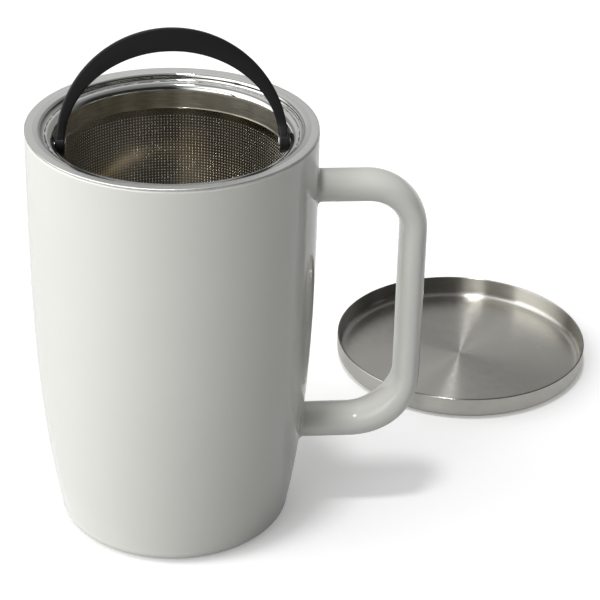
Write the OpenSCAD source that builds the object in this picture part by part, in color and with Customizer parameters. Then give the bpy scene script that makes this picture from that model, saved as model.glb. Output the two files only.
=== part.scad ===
// Tea mug with a lift-out infuser basket, a folding bail and a cap lid.
// The lid lies upside down on the table beside the mug.
// The origin is the centre of the mug's foot, +Z is up and the handle points along +X.

/* [Mug body] */
// Height of the ceramic body
mug_h = 131.4; // [120:0.2:142]
// Outer radius at the mouth
mouth_r = 43.5; // [42.6:0.1:43.8]
// How much narrower the body is at its foot than at its mouth
foot_taper = 7.9; // [6:0.1:8.4]
// How late the side turns in towards the foot
taper_power = 3.44; // [2.6:0.02:4.5]
// Wall thickness at the side
mug_wall = 3.8; // [3:0.1:4]
// Thickness of the floor above the table
mug_floor = 6.0; // [4:0.2:9]
// Radius of the outer edge at the foot
foot_edge_r = 4.0; // [2:0.2:6]
// Radius of the corner between floor and wall inside
floor_corner_r = 9.0; // [5:0.5:14]
// Width of the ring that stands on the table
foot_ring_w = 4.2; // [3:0.2:7]
// Depth of the recess inside that ring
foot_recess = 1.4; // [0.8:0.1:2.4]
// Radius of the mouth's outer edge under the steel rim
mouth_edge_r = 0.7; // [0.3:0.1:1.2]

/* [Handle] */
// Drop from the body's top edge to the upper arm's centre line
arm_top_drop = 19.8; // [15:0.1:27]
// Height of the lower arm's centre line
arm_low_z = 28.8; // [26:0.2:34]
// Room for the fingers between the body's side and the grip
finger_gap = 25.5; // [20:0.1:32]
// Radius of the upper corner on the centre line
corner_top_r = 14.6; // [11:0.2:19]
// Radius of the lower corner on the centre line
corner_low_r = 18.0; // [12:0.2:20]
// Width of the handle from side to side
handle_w = 13.8; // [10:0.2:18]
// Thickness of the grip
grip_t = 8.3; // [6:0.1:10]
// Thickness of the upper arm at the body
arm_top_t = 8.6; // [7:0.1:11]
// Thickness of the lower arm at the body
arm_low_t = 9.2; // [8:0.1:12]

/* [Infuser rim] */
// Thickness of the steel sheet
rim_t = 0.6; // [0.4:0.05:0.9]
// How far the ring's edge stays inside the mouth's outer edge
ring_inset = 0.1; // [0:0.05:0.8]
// Radial gap between the rim's outer wall and the mug's inner wall
rim_gap = 0.5; // [0.2:0.1:0.8]
// Bend radius at the ring's inner edge, on the upper face
ring_bend_r = 1.0; // [0.9:0.05:1.2]
// Bend radius at the foot of the recess wall, on the upper face
recess_bend_r = 0.8; // [0.5:0.05:1]
// Depth of the ledge under the ring
ledge_drop = 2.1; // [1.9:0.1:3.5]
// Bend radius from the ledge down into the neck, on the upper face
neck_bend_r = 2.2; // [1:0.1:2.4]
// Width from the recess wall in to the neck
ledge_w = 3.7; // [3.4:0.1:6]
// Height of the neck's straight wall
neck_h = 7.8; // [7:0.1:12]

/* [Infuser basket] */
// Thickness of the perforated sheet
sheet_t = 0.3; // [0.2:0.05:0.6]
// Distance from the top of the ring down to the sheet's upper edge
sheet_drop = 9.8; // [9.4:0.1:11]
// Depth of the basket below the top of the ring
basket_depth = 56; // [50:1:105]
// Height of the base cup's upturned wall, which stands inside the sheet
cup_h = 5.0; // [4:0.5:12]
// Thickness of the base cup
cup_t = 0.5; // [0.3:0.05:0.8]
// Corner radius of the base cup outside
cup_corner_r = 2.4; // [1.2:0.1:3]
// Columns of holes round the basket
hole_cols = 36; // [12:1:48]
// Rows of holes up the basket
hole_rows = 6; // [3:1:7]
// Diameter of a hole in the wall and the base
hole_d = 2.6; // [1:0.1:3]
// Plain margin above the first and below the last row, and round the base
hole_margin = 4.0; // [3:0.5:6]
// Rings of holes in the base, round the one in its middle
base_rings = 3; // [1:1:4]

/* [Bail] */
// Height of the pivot axis above the lower edge of the neck
pivot_rise = 6.1; // [4:0.1:6.4]
// Gap between the bail's outer edge and the neck
bail_gap = 0.65; // [0.4:0.05:1.2]
// Width of the band at its top
bail_top_w = 6.9; // [4:0.1:10]
// Width of the band beside the pivots
bail_leg_w = 2.55; // [1.8:0.05:3.5]
// Thickness of the band
bail_t = 2.6; // [1.6:0.1:3.4]
// Lean of the bail behind the vertical, as it stands in the photograph
bail_lean = 15; // [0:1:60]
// Outer diameter of the eyes
eye_d = 6.4; // [5:0.1:7]
// Gap between an eye's rim and the neck
eye_gap = 0.15; // [0.1:0.05:0.3]

/* [Rivets] */
// Diameter of the shank
shank_d = 2.0; // [1.4:0.1:3]
// Radial play of the shank in the bail's eye
shank_play = 0.05; // [0.02:0.01:0.1]
// Diameter of both heads
head_d = 4.0; // [3:0.1:5]
// Gap all round the inner head, where the bail is cut back for it
head_gap = 0.3; // [0.2:0.05:0.6]
// Thickness of the inner head
inner_head_t = 0.4; // [0.3:0.1:1]
// Thickness of the outer head
outer_head_t = 0.5; // [0.3:0.1:1.2]

/* [Lid] */
// Radial play of the lid's skirt over the mouth
lid_play = 0.4; // [0.2:0.1:0.8]
// Thickness of the lid's sheet
lid_t = 0.6; // [0.4:0.05:1]
// Height of the lid
lid_h = 8.0; // [6:0.2:14]
// Corner radius of the lid outside
lid_corner_r = 2.0; // [1.2:0.1:3]
// Place of the lid on the table, along the handle's direction
lid_x = 106.2; // [96:0.2:130]
// Place of the lid on the table, behind the handle
lid_y = 86.5; // [70:0.2:110]

/* [Hidden] */

$fn = 96;
// Slack by which a cutting shape runs past the face it cuts
past = 1;

// Sizes worked out from those above
mouth_inner_r = mouth_r - mug_wall;
arm_top_z = mug_h - arm_top_drop;
grip_x = mouth_r + finger_gap + grip_t / 2;
ring_r = mouth_r - ring_inset;
ring_top_z = mug_h + rim_t;
recess_wall_r = mouth_inner_r - rim_gap - rim_t;
neck_r = recess_wall_r - ledge_w;
ledge_z = ring_top_z - ledge_drop;
neck_top_z = ledge_z - neck_bend_r;
neck_low_z = neck_top_z - neck_h;
sheet_top_z = ring_top_z - sheet_drop;
basket_low_z = ring_top_z - basket_depth;
sheet_in_r = neck_r - sheet_t;
pivot_z = neck_low_z + pivot_rise;
bail_r = neck_r - bail_gap;
leg_in_x = bail_r - bail_leg_w;
eye_r = eye_d / 2;
eye_out_x = sqrt(pow(neck_r, 2) - pow(eye_r, 2)) - eye_gap;
neck_out_r = neck_r + rim_t;
lid_r = mouth_r + lid_play + lid_t;

// Points along an arc about [cx, cz], from angle a0 to angle a1
function arc(cx, cz, r, a0, a1, n = 8) =
  [for (i = [0:n]) let (a = a0 + (a1 - a0) * i / n) [cx + r * cos(a), cz + r * sin(a)]];

// Outer radius of the body at height z
function side_r(z) = mouth_r - foot_taper * pow((mug_h - z) / mug_h, taper_power);

// Steps up the side, closer together near the foot where it turns in most
side_steps = 20;
step_power = 1.4;
function side_z(low, high, i) = low + (high - low) * pow(i / side_steps, step_power);

// ---------------------------------------------------------------- mug body

// Half section of the body's outside, filled to the axis
module body_outline() {
  foot_r = side_r(foot_edge_r) - foot_edge_r;
  polygon(concat(
    [[0, 0]],
    arc(foot_r, foot_edge_r, foot_edge_r, -90, 0),
    [for (i = [1:side_steps]) let (z = side_z(foot_edge_r, mug_h - mouth_edge_r, i)) [side_r(z), z]],
    arc(mouth_r - mouth_edge_r, mug_h - mouth_edge_r, mouth_edge_r, 0, 90, 4),
    [[0, mug_h]]
  ));
}

// Half section of the hollow, which follows the outside at the wall's thickness
module hollow_outline() {
  corner_z = mug_floor + floor_corner_r;
  corner_x = side_r(corner_z) - mug_wall - floor_corner_r;
  polygon(concat(
    [[0, mug_floor]],
    arc(corner_x, corner_z, floor_corner_r, -90, 0),
    [for (i = [1:side_steps]) let (z = side_z(corner_z, mug_h, i)) [side_r(z) - mug_wall, z]],
    [[mouth_inner_r, mug_h + past], [0, mug_h + past]]
  ));
}

// Ceramic body with its foot ring
module mug_body() {
  recess_r = side_r(foot_edge_r) - foot_edge_r - foot_ring_w;
  color([0.93, 0.93, 0.92])
    difference() {
      rotate_extrude() body_outline();
      rotate_extrude() hollow_outline();
      translate([0, 0, -past])
        cylinder(r1 = recess_r + past / 2, r2 = recess_r - foot_recess / 2, h = foot_recess + past);
    }
}

// ------------------------------------------------------------------ handle

// The centre line leaves the body level, turns down, runs along the grip and turns back.
// Stations: the upper arm, upper corner, grip, lower corner and lower arm.
corner_steps = 9;
grip_steps = 5;
// Where both ends of the centre line start, inside the body's wall
root_x = mouth_r - mug_wall;
function handle_line() = concat(
  [[root_x, arm_top_z]],
  arc(grip_x - corner_top_r, arm_top_z - corner_top_r, corner_top_r, 90, 0, corner_steps),
  [for (i = [1:grip_steps - 1])
    let (high = arm_top_z - corner_top_r, low = arm_low_z + corner_low_r)
    [grip_x, high + (low - high) * i / grip_steps]],
  arc(grip_x - corner_low_r, arm_low_z + corner_low_r, corner_low_r, 0, -90, corner_steps),
  [[side_r(arm_low_z) - mug_wall, arm_low_z]]
);

// Direction of the centre line at station i, in degrees above +X
function line_turn(line, i) =
  let (a = line[max(i - 1, 0)], b = line[min(i + 1, len(line) - 1)])
  atan2(b[1] - a[1], b[0] - a[0]);

// Thickness across the centre line: the grip's own, growing into both arms,
// with a fuller lower corner where the fingers rest.
corner_swell = 1.5;
function blend(t) = t * t * (3 - 2 * t);
function handle_t(turn) =
  turn > -90
    ? grip_t + (arm_top_t - grip_t) * blend((turn + 90) / 90)
    : grip_t + (arm_low_t - grip_t) * blend((-90 - turn) / 90)
      + corner_swell * pow(sin(2 * (-90 - turn)), 2);

// Rounded section of the handle in the plane across its centre line
section_sides = 24;
section_power = 0.86;
function swell(v) = sign(v) * pow(abs(v), section_power);
function section_point(p, turn, j) =
  let (
    a = 360 * j / section_sides,
    across = handle_t(turn) / 2 * swell(sin(a)),
    side = handle_w / 2 * swell(cos(a))
  )
  [p[0] - across * sin(turn), side, p[1] + across * cos(turn)];

// Closed skin through the sections, with a flat cap at each end
module handle_sweep() {
  line = handle_line();
  last = len(line) - 1;
  // The arms are level, so both end sections stand upright
  turns = [
    0,
    for (i = [1:last - 1]) let (t = line_turn(line, i)) t > 90 ? t - 360 : t,
    -180
  ];
  points = [for (i = [0:last]) for (j = [0:section_sides - 1]) section_point(line[i], turns[i], j)];
  faces = concat(
    [[for (j = [0:section_sides - 1]) j]],
    [for (i = [0:last - 1]) for (j = [0:section_sides - 1])
      let (k = (j + 1) % section_sides, a = i * section_sides, b = a + section_sides)
      each [[a + j, b + j, b + k], [a + j, b + k, a + k]]],
    [[for (j = [section_sides - 1:-1:0]) last * section_sides + j]]
  );
  polyhedron(points, faces);
}

// Ceramic handle, cut to the body's outside so that its two ends sit on the wall
module mug_handle() {
  color([0.93, 0.93, 0.92])
    difference() {
      handle_sweep();
      rotate_extrude() body_outline();
    }
}

// ------------------------------------------------------------- infuser rim

// One sheet: the ring on the mouth, the recess wall, the ledge and the neck
module rim_section() {
  edge_r = rim_t / 2;
  ring_cx = recess_wall_r + ring_bend_r;
  ring_cz = ring_top_z - ring_bend_r;
  recess_cx = recess_wall_r - recess_bend_r;
  recess_cz = ledge_z + recess_bend_r;
  neck_cx = neck_r + neck_bend_r;
  polygon(concat(
    // upper face, from the ring's edge in to the neck
    arc(ring_r - edge_r, ring_top_z - edge_r, edge_r, -90, 90, 8),
    arc(ring_cx, ring_cz, ring_bend_r, 90, 180),
    arc(recess_cx, recess_cz, recess_bend_r, 0, -90),
    arc(neck_cx, neck_top_z, neck_bend_r, 90, 180),
    [[neck_r, neck_low_z], [neck_out_r, neck_low_z]],
    // lower face, back out to the ring's edge
    arc(neck_cx, neck_top_z, neck_bend_r - rim_t, 180, 90),
    arc(recess_cx, recess_cz, recess_bend_r + rim_t, -90, 0),
    arc(ring_cx, ring_cz, ring_bend_r - rim_t, 180, 90, 4)
  ));
}

// A cylinder along X through the neck's wall, on the side given by way (-1 or 1)
module along_x(way, from, to, r) {
  translate([way > 0 ? from : -to, 0, pivot_z])
    rotate([0, 90, 0])
      cylinder(r = r, h = to - from);
}

module infuser_rim() {
  color([0.72, 0.72, 0.70])
    difference() {
      rotate_extrude() rim_section();
      for (way = [-1, 1])
        along_x(way, neck_r - past, neck_out_r + past, shank_d / 2);
    }
}

// ---------------------------------------------------------- infuser basket

// The real sheet has some 12 000 holes of about half a millimetre on a square grid.
// The solids carry a coarser square pattern over the same band.
module basket_wall() {
  low = basket_low_z + cup_h;
  high = neck_low_z;
  first = low + hole_margin;
  pitch = (high - low - 2 * hole_margin) / (hole_rows - 1);
  color([0.45, 0.45, 0.40])
    difference() {
      rotate_extrude()
        translate([sheet_in_r, basket_low_z + cup_corner_r])
          square([sheet_t, sheet_top_z - basket_low_z - cup_corner_r]);
      for (row = [0:hole_rows - 1])
        for (col = [0:hole_cols - 1])
          rotate([0, 0, 360 * (col + 0.5) / hole_cols])
            translate([sheet_in_r - past, 0, first + pitch * row])
              rotate([0, 90, 0])
                cylinder(d = hole_d, h = sheet_t + 2 * past, $fn = 24);
    }
}

// Drawn cup that closes the basket: it is pushed up into the sheet and welded to it
module basket_base() {
  corner_x = sheet_in_r - cup_corner_r;
  corner_z = basket_low_z + cup_corner_r;
  ring_step = (corner_x - hole_margin) / base_rings;
  color([0.62, 0.62, 0.60])
    difference() {
      rotate_extrude()
        polygon(concat(
          [[0, basket_low_z]],
          arc(corner_x, corner_z, cup_corner_r, -90, 0),
          [[sheet_in_r, basket_low_z + cup_h], [sheet_in_r - cup_t, basket_low_z + cup_h]],
          arc(corner_x, corner_z, cup_corner_r - cup_t, 0, -90),
          [[0, basket_low_z + cup_t]]
        ));
      for (ring = [0:base_rings])
        for (i = [0:max(1, 6 * ring) - 1])
          rotate([0, 0, 60 * i / max(1, ring)])
            translate([ring_step * ring, 0, basket_low_z - past])
              cylinder(d = hole_d, h = cup_t + 2 * past, $fn = 24);
    }
}

// ------------------------------------------------------------------- bail

// The bail is drawn flat, with its pivot axis on X, then stood up to its lean.
// Its outer edge is a half circle about the pivot axis and its inner edge half an ellipse.
module bail_outline() {
  steps = 40;
  inner_top = bail_r - bail_top_w;
  difference() {
    circle(r = bail_r, $fn = 128);
    polygon([for (i = [0:2 * steps - 1]) let (a = 180 * i / steps) [leg_in_x * cos(a), inner_top * sin(a)]]);
    translate([-bail_r - past, -bail_r - past])
      square([2 * (bail_r + past), bail_r + past]);
  }
}

// Web that widens a leg into its eye: its sides leave the eye on tangents, 30 degrees
// up its rim, and meet the leg's sides at a height of web_h
module eye_web(way) {
  web_w = eye_r * cos(30);
  web_low = eye_r * sin(30);
  web_h = 2.1 * eye_r;
  translate([way > 0 ? leg_in_x : -bail_r, 0, 0])
    rotate([90, 0, 90])
      linear_extrude(bail_r - leg_in_x)
        polygon([[-web_w, web_low], [web_w, web_low], [bail_t / 2, web_h], [-bail_t / 2, web_h]]);
}

// The bail in its own place: the arch rises along +Z and the pivot axis is X
module bail_upright() {
  difference() {
    union() {
      translate([0, bail_t / 2, 0])
        rotate([90, 0, 0])
          linear_extrude(bail_t) bail_outline();
      intersection() {
        union() {
          eye_web(-1);
          eye_web(1);
        }
        rotate([90, 0, 0])
          cylinder(r = bail_r, h = 2 * eye_d, center = true, $fn = 128);
      }
      for (way = [-1, 1])
        translate([way > 0 ? leg_in_x : -eye_out_x, 0, 0])
          rotate([0, 90, 0])
            cylinder(d = eye_d, h = eye_out_x - leg_in_x);
    }
    // Bore for the shanks, and room for the inner heads
    rotate([0, 90, 0])
      cylinder(d = shank_d + 2 * shank_play, h = 2 * (eye_out_x + past), center = true);
    rotate([0, 90, 0])
      cylinder(r = head_d / 2 + head_gap, h = 2 * leg_in_x, center = true);
  }
}

module bail() {
  color([0.13, 0.13, 0.13])
    translate([0, 0, pivot_z])
      rotate([-bail_lean, 0, 0])
        bail_upright();
}

// ------------------------------------------------------------------ rivets

// A rivet holds an eye of the bail against the inside of the neck
module rivet(way) {
  color([0.80, 0.80, 0.79])
    union() {
      along_x(way, leg_in_x - inner_head_t, leg_in_x, head_d / 2);
      along_x(way, leg_in_x - inner_head_t, neck_out_r + outer_head_t, shank_d / 2);
      along_x(way, neck_out_r, neck_out_r + outer_head_t, head_d / 2);
    }
}

module left_rivet() {
  rivet(-1);
}

module right_rivet() {
  rivet(1);
}

// -------------------------------------------------------------------- lid

// Spun cap, upside down on the table, its top face down
module lid() {
  inner_r = lid_r - lid_t;
  corner_in_r = lid_corner_r - lid_t;
  corner_x = lid_r - lid_corner_r;
  color([0.60, 0.60, 0.61])
    translate([lid_x, lid_y, 0])
      rotate_extrude($fn = 128)
        polygon(concat(
          [[0, 0]],
          arc(corner_x, lid_corner_r, lid_corner_r, -90, 0),
          arc(lid_r - lid_t / 2, lid_h - lid_t / 2, lid_t / 2, 0, 180, 6),
          arc(corner_x, lid_corner_r, corner_in_r, 0, -90),
          [[0, lid_t]]
        ));
}

mug_body();
mug_handle();
infuser_rim();
basket_wall();
basket_base();
left_rivet();
right_rivet();
bail();
lid();
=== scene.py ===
"""Looks of a tall tea mug with a lift-out infuser basket, a folding bail and a loose cap lid.

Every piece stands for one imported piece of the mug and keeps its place: the mug's axis is Z, its foot stands
on z = 0 and its handle points along +X. Lengths are in metres.
"""

import logging
import math
from dataclasses import dataclass, field
from enum import Enum
from typing import Sequence

import bpy
import numpy as np
from mathutils import Matrix, Vector


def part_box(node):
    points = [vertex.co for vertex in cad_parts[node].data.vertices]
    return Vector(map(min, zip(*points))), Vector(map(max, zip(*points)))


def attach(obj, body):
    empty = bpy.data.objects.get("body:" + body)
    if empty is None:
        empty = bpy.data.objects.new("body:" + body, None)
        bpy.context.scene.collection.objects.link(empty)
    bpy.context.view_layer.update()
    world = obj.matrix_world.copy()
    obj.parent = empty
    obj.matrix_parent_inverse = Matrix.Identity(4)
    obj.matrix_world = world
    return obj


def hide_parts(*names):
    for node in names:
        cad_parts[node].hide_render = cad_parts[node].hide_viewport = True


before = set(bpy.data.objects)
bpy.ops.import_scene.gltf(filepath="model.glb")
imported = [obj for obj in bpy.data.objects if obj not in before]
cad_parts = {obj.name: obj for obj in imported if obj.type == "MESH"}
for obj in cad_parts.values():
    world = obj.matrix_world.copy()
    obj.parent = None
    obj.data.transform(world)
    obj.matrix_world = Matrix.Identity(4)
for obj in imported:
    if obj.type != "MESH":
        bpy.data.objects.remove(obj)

LOG = logging.getLogger("tea_mug")
MM = 0.001
Colour = tuple[float, float, float]


class Side(Enum):
    """Which end of the bail's pivot axis a piece belongs to."""

    LEFT = -1
    RIGHT = 1


class Shade(Enum):
    """How the faces of a piece meet: the angle past which an edge stays sharp."""

    ROUND = 180.0
    CRISP = 38.0


# ------------------------------------------------------------------------------------------------ node trees


class Tree:
    """A small hand for writing a material's node tree."""

    def __init__(self, tree: bpy.types.NodeTree) -> None:
        """Empties the tree.

        Args:
            tree: the node tree to write.
        """
        self.tree = tree
        tree.nodes.clear()

    def add(self, kind: str, **settings: object) -> bpy.types.Node:
        """Adds a node.

        Args:
            kind: the node's class, without its "ShaderNode" start.
            **settings: values of the node's own properties.

        Returns:
            The new node.
        """
        node = self.tree.nodes.new("ShaderNode" + kind)
        for name, value in settings.items():
            setattr(node, name, value)
        return node

    def join(self, source: bpy.types.NodeSocket, target: bpy.types.NodeSocket) -> None:
        """Links an output to an input."""
        self.tree.links.new(source, target)

    def feed(self, target: bpy.types.NodeSocket, value: object) -> None:
        """Gives an input another node's output, or else a plain value."""
        if isinstance(value, bpy.types.NodeSocket):
            self.join(value, target)
        else:
            target.default_value = value

    def maths(self, operation: str, *values: object) -> bpy.types.NodeSocket:
        """Adds a Math node.

        Args:
            operation: what it does, such as "MULTIPLY".
            *values: its inputs in order, as numbers or as outputs of other nodes.

        Returns:
            The node's output.
        """
        node = self.add("Math", operation=operation)
        for socket, value in zip(node.inputs, values):
            self.feed(socket, value)
        return node.outputs[0]

    def noise(self, where: bpy.types.NodeSocket, scale: float, detail: float = 2.0) -> bpy.types.NodeSocket:
        """Adds a Noise Texture.

        Args:
            where: the coordinates it reads.
            scale: how many swells it has in a metre.
            detail: how many finer layers lie over them.

        Returns:
            Its value, from 0 to 1.
        """
        node = self.add("TexNoise")
        node.inputs["Scale"].default_value = scale
        node.inputs["Detail"].default_value = detail
        self.join(where, node.inputs["Vector"])
        return node.outputs["Fac"]

    def mapped(self, where: bpy.types.NodeSocket, **changes: tuple[float, float, float]) -> bpy.types.NodeSocket:
        """Moves or scales coordinates.

        Args:
            where: the coordinates.
            **changes: inputs of the Mapping node, such as Location or Scale.

        Returns:
            The changed coordinates.
        """
        node = self.add("Mapping", vector_type="POINT")
        for name, value in changes.items():
            node.inputs[name].default_value = value
        self.join(where, node.inputs["Vector"])
        return node.outputs["Vector"]

    def parts(self, where: bpy.types.NodeSocket) -> bpy.types.NodeOutputs:
        """Splits coordinates into their X, Y and Z."""
        node = self.add("SeparateXYZ")
        self.join(where, node.inputs[0])
        return node.outputs

    def between(self, value: bpy.types.NodeSocket, low: float, high: float, out_low: float, out_high: float,
                smooth: bool = False) -> bpy.types.NodeSocket:
        """Adds a clamped Map Range.

        Args:
            value: what is mapped.
            low: the value that becomes out_low.
            high: the value that becomes out_high.
            out_low: the result at low.
            out_high: the result at high.
            smooth: whether the step between them is smooth.

        Returns:
            The mapped value.
        """
        node = self.add("MapRange", interpolation_type="SMOOTHSTEP" if smooth else "LINEAR")
        self.join(value, node.inputs["Value"])
        for name, number in zip(("From Min", "From Max", "To Min", "To Max"), (low, high, out_low, out_high)):
            node.inputs[name].default_value = number
        return node.outputs["Result"]

    def mix(self, share: bpy.types.NodeSocket, first: Colour | bpy.types.NodeSocket,
            second: Colour) -> bpy.types.NodeSocket:
        """Mixes two colours.

        Args:
            share: how much of the second colour shows, from 0 to 1.
            first: the colour at 0, or another node's output.
            second: the colour at 1.

        Returns:
            The mixed colour.
        """
        node = self.add("Mix", data_type="RGBA")
        self.join(share, node.inputs["Factor"])
        self.feed(node.inputs["A"], (*first, 1.0) if isinstance(first, tuple) else first)
        node.inputs["B"].default_value = (*second, 1.0)
        # A Mix node holds a result for each data type, and the colour's is the third
        return node.outputs[2]

    def bump(self, height: bpy.types.NodeSocket, strength: float, distance: float) -> bpy.types.NodeSocket:
        """Adds a Bump node.

        Args:
            height: the relief, from 0 to 1.
            strength: how much of it shows.
            distance: the real height of a full step.

        Returns:
            The bent normal.
        """
        node = self.add("Bump")
        node.inputs["Strength"].default_value = strength
        node.inputs["Distance"].default_value = distance
        self.join(height, node.inputs["Height"])
        return node.outputs["Normal"]

    def seen(self, reflected: float) -> bpy.types.NodeSocket:
        """Adds a Light Path node.

        Args:
            reflected: its value in reflections and through glass.

        Returns:
            1 to the camera, the given value in reflections and 0 to diffuse light.
        """
        rays = self.add("LightPath").outputs
        shine = self.maths("MAXIMUM", rays["Is Glossy Ray"], rays["Is Transmission Ray"])
        return self.maths("MAXIMUM", rays["Is Camera Ray"], self.maths("MULTIPLY", shine, reflected))

    def surface(self, shader: bpy.types.NodeSocket) -> None:
        """Shows a shader on the surface."""
        self.join(shader, self.add("OutputMaterial").inputs["Surface"])


def new_material(name: str) -> tuple[bpy.types.Material, Tree]:
    """Makes an empty material.

    Args:
        name: the material's name.

    Returns:
        The material and a hand on its node tree.
    """
    material = bpy.data.materials.new(name)
    material.use_nodes = True
    return material, Tree(material.node_tree)


def principled(tree: Tree, **values: float) -> bpy.types.Node:
    """Adds a Principled BSDF with plain values on its own sockets.

    Args:
        tree: the tree it goes into.
        **values: socket names, with _ for a space, and their values.

    Returns:
        The shader node.
    """
    node = tree.add("BsdfPrincipled")
    for name, value in values.items():
        node.inputs[name.replace("_", " ")].default_value = value
    return node


# -------------------------------------------------------------------------------------------------- finishes


@dataclass(frozen=True)
class Glaze:
    """Glossy white glaze, with a bare fired ring where the foot stands."""

    slot: str = "glazed_ceramic"
    colour: Colour = (0.80, 0.80, 0.755)
    pooled: Colour = (0.785, 0.785, 0.74)
    bare: Colour = (0.62, 0.57, 0.50)
    roughness: float = 0.07
    bare_height: float = 0.45 * MM
    bare_roughness: float = 0.75
    swell_scale: float = 38.0
    grain_scale: float = 900.0
    ripple_scale: float = 160.0
    ripple_depth: float = 0.12 * MM

    def material(self) -> bpy.types.Material:
        """Makes the glaze: slow swells of thickness, a faint ripple and the bare ring."""
        material, tree = new_material("white_glaze")
        where = tree.add("TexCoord").outputs["Object"]
        shader = principled(tree, IOR=1.5, Specular_IOR_Level=0.5)
        swell = tree.between(tree.noise(where, self.swell_scale), 0.35, 0.7, 0.0, 1.0)
        glazed = tree.mix(swell, self.colour, self.pooled)
        foot = tree.between(tree.parts(where)["Z"], self.bare_height * 0.6, self.bare_height, 1.0, 0.0)
        tree.join(tree.mix(foot, glazed, self.bare), shader.inputs["Base Color"])
        grain = tree.between(tree.noise(where, self.grain_scale), 0.3, 0.7,
                             self.roughness * 0.85, self.roughness * 1.15)
        rough = tree.maths("MAXIMUM", grain, tree.maths("MULTIPLY", foot, self.bare_roughness))
        tree.join(rough, shader.inputs["Roughness"])
        ripple = tree.noise(where, self.ripple_scale, 1.0)
        tree.join(tree.bump(ripple, 0.08, self.ripple_depth), shader.inputs["Normal"])
        tree.surface(shader.outputs[0])
        return material


@dataclass(frozen=True)
class Steel:
    """Stainless steel with the marks that its making leaves, and on a brushed neck tall streaks of painted
    reflection in its tone.
    """

    name: str
    slot: str
    colour: Colour
    dark: Colour
    roughness: float
    anisotropy: float = 0.0
    ring_scale: float = 0.0
    ring_centre: tuple[float, float] = (0.0, 0.0)
    ring_relief: float = 0.0
    brushed: bool = False
    cloud_scale: float = 60.0
    reflection_streak_scale: float = 95.0
    reflection_streak_stretch: float = 0.05
    line_scale: float = 170.0
    line_stretch: float = 18.0
    mark_scale: float = 420.0
    ring_depth: float = 0.02 * MM

    def cloud(self, tree: Tree, where: bpy.types.NodeSocket) -> bpy.types.NodeSocket:
        """Makes the steel's tone: a plain cloud, or tall streaks of painted reflection crossed by fine level
        lines of brushing.

        Args:
            tree: the tree it goes into.
            where: the coordinates it reads.

        Returns:
            The share of the darker colour, from 0 to 1.
        """
        if not self.brushed:
            return tree.between(tree.noise(where, self.cloud_scale, 3.0), 0.3, 0.75, 0.0, 1.0)
        # Painted reflection: the tall streaks put into the colour the light and shade that a brushed wall
        # reflects; the fine level lines are the brushing itself
        painted_reflection_streaks = tree.noise(tree.mapped(where, Scale=(1.0, 1.0, self.reflection_streak_stretch)), self.reflection_streak_scale, 2.0)
        lines = tree.noise(tree.mapped(where, Scale=(1.0, 1.0, self.line_stretch)), self.line_scale, 3.0)
        both = tree.maths("ADD", tree.maths("MULTIPLY", painted_reflection_streaks, 0.6), tree.maths("MULTIPLY", lines, 0.4))
        return tree.between(both, 0.42, 0.58, 0.0, 1.0)

    def material(self) -> bpy.types.Material:
        """Makes the steel: its tone, fine rings about its axis and a scatter of faint marks."""
        material, tree = new_material(self.name)
        coords = tree.add("TexCoord").outputs["Object"]
        where = tree.mapped(coords, Location=(-self.ring_centre[0], -self.ring_centre[1], 0.0))
        # The rings run round the axis, and light spreads across them: a quarter turn from the tangent
        shader = principled(tree, Metallic=1.0, Anisotropic=self.anisotropy, Anisotropic_Rotation=0.25)
        tree.join(tree.mix(self.cloud(tree, where), self.colour, self.dark), shader.inputs["Base Color"])
        marks = tree.between(tree.noise(where, self.mark_scale, 4.0), 0.35, 0.75,
                             self.roughness * 0.9, self.roughness * 1.1)
        tree.join(marks, shader.inputs["Roughness"])
        if self.ring_scale:
            axes = tree.parts(where)
            squares = [tree.maths("MULTIPLY", axes[i], axes[i]) for i in (0, 1)]
            radius = tree.maths("SQRT", tree.maths("ADD", *squares))
            ring_at = tree.add("CombineXYZ")
            tree.join(radius, ring_at.inputs["X"])
            tree.join(axes["Z"], ring_at.inputs["Y"])
            rings = tree.noise(ring_at.outputs[0], self.ring_scale, 3.0)
            tree.join(tree.bump(rings, self.ring_relief, self.ring_depth), shader.inputs["Normal"])
        if self.anisotropy:
            tangent = tree.add("Tangent", direction_type="RADIAL", axis="Z")
            tree.join(tangent.outputs[0], shader.inputs["Tangent"])
        tree.surface(shader.outputs[0])
        return material


@dataclass(frozen=True)
class MouldedPlastic:
    """Black moulded plastic with a fine matte grain and a sheen that changes slowly."""

    slot: str = "black_plastic"
    colour: Colour = (0.010, 0.010, 0.011)
    rubbed: Colour = (0.014, 0.014, 0.015)
    roughness: float = 0.50
    sheen_scale: float = 120.0
    grain_scale: float = 3200.0
    grain_depth: float = 0.03 * MM

    def material(self) -> bpy.types.Material:
        """Makes the plastic: mould grain as relief, and a slow change of sheen."""
        material, tree = new_material("black_moulding")
        where = tree.add("TexCoord").outputs["Object"]
        shader = principled(tree, IOR=1.45, Specular_IOR_Level=0.28)
        slow = tree.noise(where, self.sheen_scale, 3.0)
        tree.join(tree.mix(tree.between(slow, 0.4, 0.75, 0.0, 1.0), self.colour, self.rubbed),
                  shader.inputs["Base Color"])
        tree.join(tree.between(slow, 0.3, 0.7, self.roughness, self.roughness * 0.8), shader.inputs["Roughness"])
        grain = tree.noise(where, self.grain_scale, 2.0)
        tree.join(tree.bump(grain, 0.25, self.grain_depth), shader.inputs["Normal"])
        tree.surface(shader.outputs[0])
        return material


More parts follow.
